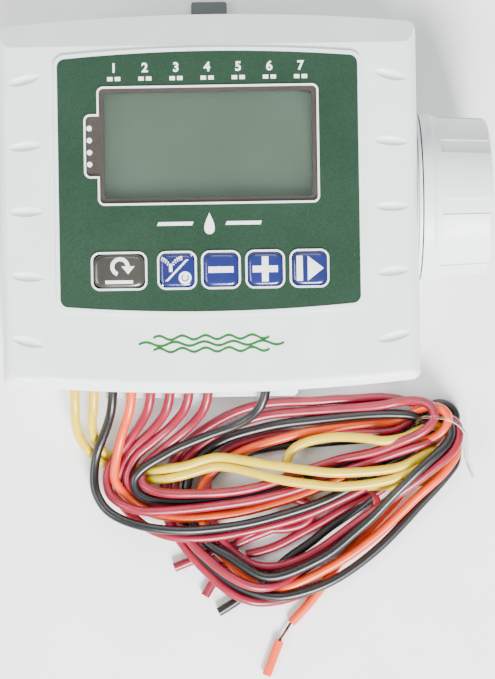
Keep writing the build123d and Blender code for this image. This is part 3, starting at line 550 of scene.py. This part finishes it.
PANEL_FACE = level(panel_high.z)
COVER_FACE = level(CASE_FRONT)
DAY_PITCH = 8.55 * MM
DAY_ROW = display_high.y + 6.3 * MM
DIGIT_HEIGHT = 2.6 * MM


def digit(text, x, y):
    """A printed number, centred on a place on the panel."""
    curve = bpy.data.curves.new("day_" + text, "FONT")
    curve.body = text
    curve.size = DIGIT_HEIGHT * 1.35
    curve.offset = 0.11 * MM
    curve.extrude = 0.03 * MM
    curve.align_x = "CENTER"
    curve.align_y = "CENTER"
    piece = bpy.data.objects.new("day_" + text, curve)
    piece.location = (x, y, panel_high.z)
    bpy.context.scene.collection.objects.link(piece)
    curve.materials.append(ink_white)
    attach(piece, "housing")


marks = []
for day in range(7):
    day_x = (day - 3) * DAY_PITCH
    digit(str(day + 1), day_x, DAY_ROW)
    marks.append(bar(day_x - 1.05 * MM, DAY_ROW - 2.9 * MM, 1.5 * MM, 1.1 * MM))
    marks.append(bar(day_x + 1.05 * MM, DAY_ROW - 2.9 * MM, 1.5 * MM, 1.1 * MM))
printed("day_marks", marks, PANEL_FACE, ink_white, "housing")
tab_x = display_low.x - 3.6 * MM
printed(
    "zone_marks",
    [disc(tab_x, display_middle.y + step * 3.3 * MM, 0.75 * MM) for step in (-1.5, -0.5, 0.5, 1.5)],
    level(ZONE_FACE),
    ink_white,
    "housing",
)
title_y = (display_low.y + span("key_minus")[2].y) / 2 + 0.4 * MM
printed(
    "drop_and_rules",
    [
        droplet(0.0, title_y, 6.0 * MM),
        bar(-9.4 * MM, title_y, 9.6 * MM, 1.0 * MM, lean=0.4 * MM),
        bar(9.4 * MM, title_y, 9.6 * MM, 1.0 * MM, lean=0.4 * MM),
    ],
    PANEL_FACE,
    ink_white,
    "housing",
)
RIPPLE_GAP = 1.7 * MM
RIPPLE_WIDTH = 0.55 * MM
RIPPLE_HEIGHT = 0.75 * MM
RIPPLE_WAVES = 5
ripple_y = (panel_low.y + span("front_cover")[1].y) / 2 + 2.4 * MM


def ripple(step):
    """One wavy line: the middle one is the longest."""
    length = (40 - 8 * abs(step)) * MM
    return wave(0.0, ripple_y + step * RIPPLE_GAP, length, RIPPLE_WIDTH, RIPPLE_HEIGHT, RIPPLE_WAVES)


printed(
    "ripples",
    [ripple(step) for step in (-1, 0, 1)],
    COVER_FACE,
    ink_green,
    "housing",
    along=120,
)

# ---- Wires ----------------------------------------------------------------------------------------

WIRE_RADIUS = 1.4 * MM
TIE_RADIUS = 0.4 * MM
TIE_ROUTE = [
    (64.2, -72.5, 1.0), (60.3, -69.0, 2.2), (58.9, -64.8, 7.0), (59.8, -61.6, 12.2), (62.6, -61.2, 15.0),
    (66.5, -61.6, 15.6), (69.8, -62.6, 15.0), (72.6, -64.8, 13.2), (74.6, -68.6, 8.0), (74.8, -71.4, 3.6),
    (74.6, -74.6, 1.6), (75.4, -77.4, 1.0), (76.8, -80.2, 0.9),
]
STRAND_ENDS = ((21.5, -122.5, 1.6), (18.0, -127.8, 1.6))
FILAMENTS = 7
FILAMENT_RADIUS = 0.14 * MM
FILAMENT_REACH = 0.3 * MM
FILAMENT_TURNS = 1.2
FILAMENT_STEPS = 24
# Control points in millimetres, from each wire's hole in the outlet to its free end. The yellow wire goes
# round and back into the outlet.
WIRE_BLACK_A_ROUTE = [
    (-29.4, -44.25, 16.5), (-29.4, -55.65, 16.5), (-32.2, -63.9, 9.6), (-35.6, -71, 6),
    (-36.5, -79, 5.5), (-35.5, -83.5, 6), (-32.5, -88, 7.2), (-27, -91, 8.6), (-19.5, -93, 9.6),
    (-10, -94, 9.6), (-1, -93.5, 9), (8, -92.5, 8), (17, -90.5, 7.3), (26, -88, 7), (33, -85.5, 6.9),
    (39, -82.5, 6.9), (45, -79.5, 6.9), (50.5, -76, 6.9), (55.5, -73, 6.9), (60, -70, 6.9),
    (63, -67, 6.9), (62.5, -63.5, 7), (59, -61, 7.2), (53.5, -60.5, 7.2), (47.5, -60.5, 6.8),
    (40, -61, 6), (29.5, -62, 5), (19, -63, 4.4), (10, -65, 4.4), (3, -67, 4.4), (-3, -70.5, 4.4),
    (-7, -75, 4.3), (-9, -80.5, 4.3), (-9, -86.5, 4.3), (-7, -92.5, 4.5), (-4, -97, 5.4),
    (-1, -99.5, 6.2), (3, -101.5, 6.8), (7, -104.5, 7), (11.5, -107.5, 7), (15.5, -108.5, 7),
    (20.5, -107.5, 7.1), (26.5, -105, 7.2), (33.5, -101.5, 7.4), (40, -96, 7.8), (46, -91, 8.6),
    (51.5, -85, 10), (56, -80.5, 11.6), (60, -76.5, 12.7), (64.5, -72.5, 12.7), (68, -69.5, 12),
    (69.5, -66.5, 11), (69, -63, 9.4), (66.5, -60.5, 7.4), (63, -60.5, 5), (61, -64, 3),
    (60.5, -68, 1.8), (59, -72, 1.5), (55.5, -76.5, 1.5), (51.5, -80.5, 1.5), (47.5, -84, 1.5),
    (43.5, -87.5, 1.5), (38.5, -91, 1.5), (33, -94.5, 1.5), (27.5, -99, 1.5), (21, -103, 1.5),
    (14.5, -109, 1.5), (9, -113, 1.5), (4.5, -116.5, 1.5), (0, -119, 1.6),
]
WIRE_BLACK_B_ROUTE = [
    (15.8, -44.25, 16.5), (15.8, -55.65, 16.5), (8.5, -62.3, 11), (-1, -65.4, 9.6), (-6.5, -67.5, 9.2),
    (-11.5, -69.5, 8.9), (-16, -72, 8.7), (-20.5, -74.5, 8.4), (-23.5, -77, 8), (-24.5, -79.5, 7.6),
    (-23.5, -82.5, 7.2), (-20.5, -84.5, 7.1), (-15.5, -85, 7.1), (-10, -85.5, 7.1), (-2, -85, 6.8),
    (7, -84.5, 5.8), (15.5, -83, 4.8), (23.5, -80.5, 4.3), (31, -78, 4.3), (38.5, -75, 4.3),
    (45, -72.5, 4.3), (51.5, -70.5, 4.3), (57.5, -68.5, 4.3), (63, -67.5, 4.2), (67.5, -66.5, 3.8),
    (70.5, -64.5, 3.2), (72, -61.5, 2.4), (70, -58.5, 1.9), (66.5, -57.5, 1.6), (63, -59, 1.5),
    (59.5, -61.5, 1.5), (56, -65, 1.5), (51, -67.5, 1.5), (44.5, -68, 1.5), (37, -68.5, 1.5),
    (28.5, -69, 1.5), (20.5, -69.5, 1.5), (13, -70.5, 1.5), (6, -72.5, 1.5), (1, -75.5, 1.5),
    (-3, -79.5, 1.5), (-6, -84, 1.5), (-8.5, -89, 1.6), (-9.5, -93.5, 2.4), (-9, -98, 3.6),
    (-6, -101.5, 4.3), (-3, -104.5, 4.4), (1, -108, 4.4), (5.5, -111, 4.5), (10, -113, 4.6),
    (14.5, -114, 4.8), (19, -114.5, 5), (26, -113, 5.2), (33, -110.5, 5), (40, -106.5, 4.6),
    (48.5, -100, 4.4), (55, -93.5, 4.4), (60.5, -87.5, 4.4), (65, -83, 4.4), (69, -78.5, 4.4),
    (72, -74.5, 4.2), (71.5, -70.5, 3.8),
]
WIRE_ORANGE_ROUTE = [
    (-23.75, -44.25, 16.5), (-23.75, -55.65, 16.5), (-27.6, -64.8, 9.6), (-29.4, -72, 7.4),
    (-30.5, -78, 6.6), (-29, -81, 5.8), (-26.5, -84, 5.4), (-23, -87, 5.8), (-17.5, -89.5, 6.8),
    (-10, -90.5, 7.1), (-1, -90, 6.9), (8, -89, 5.6), (16, -87, 4.6), (23.5, -85, 4.3), (31, -82, 4.3),
    (38, -79, 4.3), (45, -76, 4.5), (50, -73.5, 5.4), (55, -71.5, 6.8), (59.5, -69.5, 8.4),
    (64, -68, 9.6), (67.5, -65.5, 10.6), (69, -61.5, 10.8), (66.5, -58.5, 9.8), (62, -58.5, 7.8),
    (58, -60.5, 5.6), (52.5, -63, 4.4), (47.5, -63, 4.3), (41.5, -63.5, 4.3), (34, -64.5, 4.3),
    (27, -65.5, 4.3), (19, -67.5, 4.3), (11.5, -69.5, 4.3), (4.5, -72.5, 4.3), (-0.5, -76, 4.3),
    (-4, -80, 4.3), (-5.5, -84.5, 4.3), (-5.5, -89.5, 4.3), (-3.5, -95, 3.6), (-1, -100, 2.2),
    (3, -104, 1.6), (7, -108, 1.6), (11.5, -111, 1.8), (15.5, -112.5, 2.8), (20, -112, 3.8),
    (26, -109.5, 4.4), (33, -106, 4.5), (40, -102, 4.7), (48, -96, 5), (54.5, -90, 5.6),
    (59, -85.5, 6.4), (63, -82, 7), (67, -78.5, 7), (70, -75, 6.4), (72, -71.5, 5.2), (71, -67.5, 3.8),
    (68, -65.5, 2.6), (65, -67, 1.8), (63, -71, 1.5), (61, -76, 1.5), (57.5, -81, 1.5),
    (54, -86.5, 1.5), (49, -91.5, 1.5), (43, -98, 1.5), (37.5, -103, 1.5), (33.5, -108.5, 1.5),
    (29, -114.5, 1.5), (25, -119, 1.5), (21.5, -122.5, 1.5),
]
WIRE_RED_A_ROUTE = [
    (-18.1, -44.25, 16.5), (-18.1, -55.65, 16.5), (-22.5, -63.1, 8.9), (-28, -70.2, 4.8),
    (-31, -73, 4.4), (-32.5, -77, 4.2), (-32.5, -80.5, 4.6), (-31.5, -83.5, 6), (-28, -86, 8.4),
    (-23, -88, 9.9), (-16, -88, 9.9), (-8, -87.5, 9.9), (1.5, -86.5, 9.6), (10.5, -85.5, 8.6),
    (19.5, -83.5, 7.6), (26.5, -81.5, 7.1), (33.5, -78.5, 7.1), (40, -76.5, 7.2), (46, -74.5, 7.6),
    (51.5, -72.5, 8.6), (57.5, -70.5, 9.8), (62.5, -69, 9.8), (67, -66.5, 8.4), (69.5, -63.5, 6.6),
    (69, -60.5, 5), (66, -59, 4.3), (62, -57.5, 4), (57.5, -57, 4), (53, -56, 4), (48, -55.5, 4),
    (42, -56, 4), (35.5, -56, 4.2), (29, -56.5, 4.3), (21, -56.5, 4.3), (14, -57, 4.3), (8, -58.5, 4.3),
    (3, -60.5, 4.3), (-1.5, -63, 4.3), (-6, -66, 4.3), (-10, -69.5, 4.3), (-13, -74, 4.3),
    (-15, -78.5, 4.3), (-16, -84, 4.3), (-15.5, -89, 4.3), (-13.5, -93.5, 4.5), (-11, -97.5, 4.5),
    (-8, -101.5, 4.3), (-4.5, -105.5, 4.3), (-0.5, -109.5, 4.3), (3, -112.5, 4.3), (6.5, -114.5, 4.4),
    (11, -116, 4.2), (15.5, -116, 3.2), (20, -115.5, 1.8), (25.5, -113.5, 1.5), (31.5, -111, 1.5),
]
WIRE_RED_B_ROUTE = [
    (-12.45, -44.25, 16.5), (-12.45, -55.65, 16.5), (-17.2, -62.9, 8.9), (-24, -69, 5),
    (-26.5, -72, 4.4), (-28.5, -75.5, 4.3), (-29.5, -79.5, 3.4), (-29.5, -83, 2.2), (-28, -87, 2.2),
    (-24.5, -90.5, 3.6), (-19.5, -94, 5.6), (-13.5, -96, 6.9), (-6.5, -96.5, 7), (1.5, -96, 6.5),
    (9.5, -94.5, 5.3), (17, -93, 4.6), (24.5, -91, 4.3), (31, -88.5, 4.3), (37.5, -85.5, 4.3),
    (43, -83, 4.3), (48.5, -79.5, 4.3), (53.5, -76.5, 4.3), (58.5, -73, 4.3), (63.5, -70.5, 4.2),
    (67, -67, 4.2), (67.5, -63, 4.2), (65, -60, 4.2), (61, -60.5, 4.2), (57.5, -63, 4.3),
    (53.5, -65.5, 4.3), (49, -66, 4.3), (41.5, -66, 4.3), (34, -66.5, 3.6), (26.5, -66.5, 2.2),
    (19, -66, 1.6), (11.5, -67.5, 1.6), (5, -69.5, 1.6), (0, -73, 1.8), (-2.5, -77, 3), (-3, -82, 4.3),
    (-2.5, -87, 4.3), (-1, -92, 4.4), (0.5, -96.5, 4.5), (3.5, -100, 4.4), (8, -103.5, 4.2),
    (12, -105.5, 4.2), (18.5, -105.5, 4.3), (24.5, -103.5, 4.4), (30.5, -100.5, 4.7), (36, -96.5, 5.4),
    (42, -92, 6.6), (48.5, -87.5, 8.4), (53.5, -84, 9.8), (58, -81, 11), (64, -76.5, 11.4),
    (68.5, -73, 11.2), (71, -70, 10.8), (72, -66.5, 9.8), (71.5, -63.5, 8), (68.5, -61.5, 5.6),
    (65.5, -62, 3.4), (64, -65, 1.8), (62.5, -69, 1.5), (59.5, -74, 1.5), (55, -78.5, 1.5),
    (51, -82, 1.5), (46, -85, 1.5), (40.5, -87.5, 1.5), (35.5, -90, 1.5), (30.5, -93, 1.5),
    (24.5, -96, 1.5), (19, -99, 1.5), (13.5, -101, 1.5), (8.5, -102, 1.5),
]
WIRE_RED_C_ROUTE = [
    (-6.8, -44.25, 16.5), (-6.8, -55.65, 16.5), (-12.2, -62.3, 9.2), (-18.2, -67.4, 7), (-23, -71, 6),
    (-25, -74, 5.6), (-26.5, -77.5, 5), (-26.5, -81, 4.4), (-23.5, -84.5, 4.3), (-20, -86.5, 4.3),
    (-15, -87.5, 4.9), (-8, -88, 5.8), (-0.5, -87.5, 5.4), (7, -86.5, 4.6), (13.5, -85.5, 3.6),
    (20, -85, 2.6), (26, -86, 1.8), (29, -89.5, 1.5), (26.5, -93, 1.5), (21, -94.5, 1.5),
    (15, -94.5, 1.5), (9.5, -95.5, 1.5), (5.5, -98.5, 1.5), (2.5, -103.5, 1.5), (-1.5, -110, 1.5),
    (-4, -114, 1.6),
]
WIRE_RED_D_ROUTE = [
    (-1.15, -44.25, 16.5), (-1.15, -55.65, 16.5), (-6.8, -62.8, 9.5), (-14, -68.4, 7.8),
    (-19.5, -73, 6.4), (-22, -75.5, 6.4), (-22.5, -78.5, 7), (-21, -81, 8.2), (-17, -82.5, 9.3),
    (-12, -83, 9.5), (-6.5, -83, 9.5), (1.5, -83, 9.2), (10, -82, 8.4), (17.5, -80, 7.6),
    (24, -77.5, 7.1), (31, -75.5, 7.1), (37, -73.5, 7.3), (43, -72.5, 7.9), (49, -71, 9),
    (53.5, -69, 10.4), (57.5, -67.5, 11.4), (61.5, -65.5, 12), (64.5, -62.5, 12), (64.5, -59, 11.4),
    (62, -57, 10.2), (58, -56.5, 8.8), (54, -57, 7.6), (49.5, -58, 7.2), (43, -58.5, 6.2), (34, -59, 5),
    (25, -59.5, 4.5), (17.5, -60, 4.3), (12, -61, 4.3), (6, -63, 4.3), (0.5, -65.5, 4.3),
    (-4, -68.5, 4.3), (-7.5, -71.5, 4.3), (-11, -75.5, 4.3), (-12.5, -80, 4.3), (-12.5, -85, 4.3),
    (-12, -90, 4.6), (-10, -94.5, 5.8), (-7.5, -98, 7), (-4, -101.5, 7.3), (1, -106, 7.3),
    (5.5, -109, 7.3), (10, -111, 7.2), (14.5, -111.5, 6.6), (18.5, -110.5, 5), (23.5, -108, 3),
    (29, -104.5, 1.8), (35, -100.5, 1.6), (41, -96, 1.6), (46, -91, 1.6), (48, -87, 1.6),
    (46, -83, 1.6), (41, -82.5, 1.6), (35.5, -85, 1.5), (29, -88.5, 1.5), (23, -91.5, 1.5),
    (16.5, -94.5, 1.5), (9.5, -97, 1.5), (4, -99.5, 1.5), (-1.5, -101, 1.5), (-6.5, -103, 1.5),
    (-13, -105.5, 1.6),
]
WIRE_YELLOW_ROUTE = [
    (-40.7, -44.25, 16.5), (-40.7, -55.65, 16.5), (-41.3, -64.5, 8.2), (-37, -71.8, 2.4),
    (-30, -76.5, 1.5), (-25.5, -78, 1.5), (-21.5, -79, 3), (-17.5, -79, 6.6), (-13.5, -78.5, 7.3),
    (-9, -77.5, 7.3), (-4, -76, 7.3), (0, -75, 7.4), (4.5, -75.5, 7.6), (10.5, -77, 8.6),
    (19.5, -79.5, 10.2), (26.5, -80.5, 10.4), (33.5, -81.5, 10.2), (40.5, -81.5, 9.9),
    (48.5, -80.5, 9.8), (54, -79, 9.7), (59.5, -76.5, 9.4), (64, -74.5, 8.8), (68, -72, 7.8),
    (70, -68.5, 6.8), (68.5, -65, 6.6), (64.5, -64, 7), (60, -65.5, 8.2), (56, -67.5, 9.4),
    (49.5, -68.5, 10.4), (45, -67.5, 10.2), (39.5, -67, 9.2), (33.5, -67, 8), (28, -68, 7),
    (24, -69.5, 6.2), (21.5, -72, 5.6), (20.5, -75.5, 5.2), (22, -78.5, 4.6), (26.5, -80, 4.3),
    (32.5, -81, 4.3), (39.5, -82, 4.3), (47, -82, 4.3), (54.5, -82, 4.3), (61, -81, 4.4),
    (66, -79, 4.9), (68.5, -75.5, 5.8), (67.5, -72.5, 7), (64, -71, 8.2), (60, -73.5, 9.2),
    (55, -76, 9.8), (49, -77, 9.9), (40.5, -77.5, 10.2), (33.5, -77.5, 10.4), (26.5, -76.5, 10.4),
    (20, -75.5, 10), (8.5, -73.5, 8.4), (3, -72.5, 7.8), (-1, -72.5, 7.6), (-4.5, -73.5, 7.3),
    (-9, -75, 7.3), (-13.5, -75.5, 7.3), (-17.5, -76, 6.6), (-21.5, -76, 3.2), (-26, -75, 1.5),
    (-30.5, -73, 1.5), (-34.4, -70.2, 2), (-37, -63.9, 7), (-35.05, -55.65, 16.5),
    (-35.05, -44.25, 16.5),
]

orange_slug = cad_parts["orange_slug"]
FINISHES = {
    "wire_yellow": wire_yellow,
    "wire_black": wire_black,
    "wire_orange": wire_orange,
    "wire_red": wire_red,
}
# Each wire: finish, CAD nodes it stands for, far end, pieces on it, length in metres, route
WIRES = {
    "wire_yellow": (
        "wire_yellow", ["lead_yellow_a", "lead_yellow_b"], "object", [], 0.400,
        WIRE_YELLOW_ROUTE,
    ),
    "wire_black_a": (
        "wire_black", ["lead_black_a", "tail_black", "wire_hank"], "bare", [], 0.445,
        WIRE_BLACK_A_ROUTE,
    ),
    "wire_black_b": ("wire_black", ["lead_black_b"], "bare", [], 0.370, WIRE_BLACK_B_ROUTE),
    "wire_orange": (
        "wire_orange", ["lead_orange", "tail_orange"], "bare", [orange_slug], 0.425,
        WIRE_ORANGE_ROUTE,
    ),
    "wire_red_a": ("wire_red", ["lead_red_a"], "bare", [], 0.325, WIRE_RED_A_ROUTE),
    "wire_red_b": ("wire_red", ["lead_red_b"], "bare", [], 0.430, WIRE_RED_B_ROUTE),
    "wire_red_c": ("wire_red", ["lead_red_c", "tail_red_b"], "bare", [], 0.150, WIRE_RED_C_ROUTE),
    "wire_red_d": ("wire_red", ["lead_red_d", "tail_red_a"], "bare", [], 0.385, WIRE_RED_D_ROUTE),
}


def cord_curve(name, points, material, radius, sides=5):
    """A smooth wire: one open quadratic spline through the middles of its legs."""
    curve = bpy.data.curves.new(name, "CURVE")
    curve.dimensions = "3D"
    curve.bevel_depth = radius
    curve.bevel_resolution = sides
    curve.use_fill_caps = True
    spline = curve.splines.new("NURBS")
    spline.points.add(len(points) - 1)
    for point, (x, y, z) in zip(spline.points, points):
        point.co = (x * MM, y * MM, z * MM, 1.0)
    spline.order_u = 3
    spline.use_endpoint_u = True
    spline.resolution_u = 5
    curve.materials.append(material)
    piece = bpy.data.objects.new(name, curve)
    bpy.context.scene.collection.objects.link(piece)
    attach(piece, "housing")
    return piece


for name, (finish, stands_for, far_end, on_it, length, points) in WIRES.items():
    wire = cord_curve(name, points, FINISHES[finish], WIRE_RADIUS)
    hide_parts(*stands_for)
    [value * MM for value in points[0]]
    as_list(on_it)

# ---- The tie and the bare strand ------------------------------------------------------------------

tie = cord_curve("wire_tie_loop", TIE_ROUTE, tie_clear, TIE_RADIUS, sides=3)
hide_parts("wire_tie")

strand_start, strand_end = (Vector(end) * MM for end in STRAND_ENDS)
strand_along = (strand_end - strand_start).normalized()
strand_side = strand_along.cross(Vector((0, 0, 1))).normalized()
strand_up = strand_side.cross(strand_along)
copper = bpy.data.curves.new("bare_strand", "CURVE")
copper.dimensions = "3D"
copper.bevel_depth = FILAMENT_RADIUS
copper.bevel_resolution = 2
copper.use_fill_caps = True
for filament in range(FILAMENTS):
    line = copper.splines.new("POLY")
    line.points.add(FILAMENT_STEPS)
    for step, point in enumerate(line.points):
        share = step / FILAMENT_STEPS
        turn = 2 * math.pi * (filament / FILAMENTS + FILAMENT_TURNS * share)
        out = (strand_side * math.cos(turn) + strand_up * math.sin(turn)) * FILAMENT_REACH
        place = strand_start.lerp(strand_end, share) + out
        point.co = (place.x, place.y, place.z, 1.0)
copper.materials.append(copper_tinned)
strand = bpy.data.objects.new("bare_strand", copper)
bpy.context.scene.collection.objects.link(strand)
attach(strand, "housing")
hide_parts("orange_strand")

# ---- Stage ----------------------------------------------------------------------------------------

floor_mesh = bpy.data.meshes.new("floor")
reach = 3.0
corners = [(-reach, -reach, 0), (reach, -reach, 0), (reach, reach, 0), (-reach, reach, 0)]
floor_mesh.from_pydata(corners, [], [(0, 1, 2, 3)])
floor = bpy.data.objects.new("floor", floor_mesh)
bpy.context.scene.collection.objects.link(floor)
paper = Finish("paper", rough=0.9)
paper.colour(paper.ramp(paper.noise(40 * MM, 3.0), [(0.3, srgb(244, 244, 244)), (0.7, srgb(250, 250, 250))]))
floor_mesh.materials.append(paper.material)

world = bpy.data.worlds.new("studio")
bpy.context.scene.world = world
world.use_nodes = True
sky = world.node_tree.nodes["Background"]
sky.inputs["Color"].default_value = (0.95, 0.98, 1.0, 1.0)
sky.inputs["Strength"].default_value = 0.8


def softbox(name, place, aim, size, power):
    """A square area light that faces a point."""
    light = bpy.data.lights.new(name, "AREA")
    light.shape = "SQUARE"
    light.size = size
    light.energy = power
    lamp = bpy.data.objects.new(name, light)
    lamp.location = place
    lamp.rotation_euler = (Vector(aim) - Vector(place)).to_track_quat("-Z", "Y").to_euler()
    bpy.context.scene.collection.objects.link(lamp)


middle = (0.01, -0.03, 0.02)
softbox("key_light", (0.25, -1.0, 0.85), middle, 0.5, 62.0)
softbox("left_light", (-0.9, -0.2, 0.9), middle, 0.5, 10.0)
softbox("back_light", (0.1, 0.8, 1.1), middle, 0.6, 4.0)

lens = bpy.data.cameras.new("camera")
lens.sensor_width = 36
lens.lens = 115.9
lens.clip_start = 0.01
camera = bpy.data.objects.new("camera", lens)
camera.location = (9.92 * MM, -37.78 * MM, 654 * MM)
camera.rotation_euler = (0, 0, math.radians(-0.93))
bpy.context.scene.collection.objects.link(camera)
bpy.context.scene.camera = camera
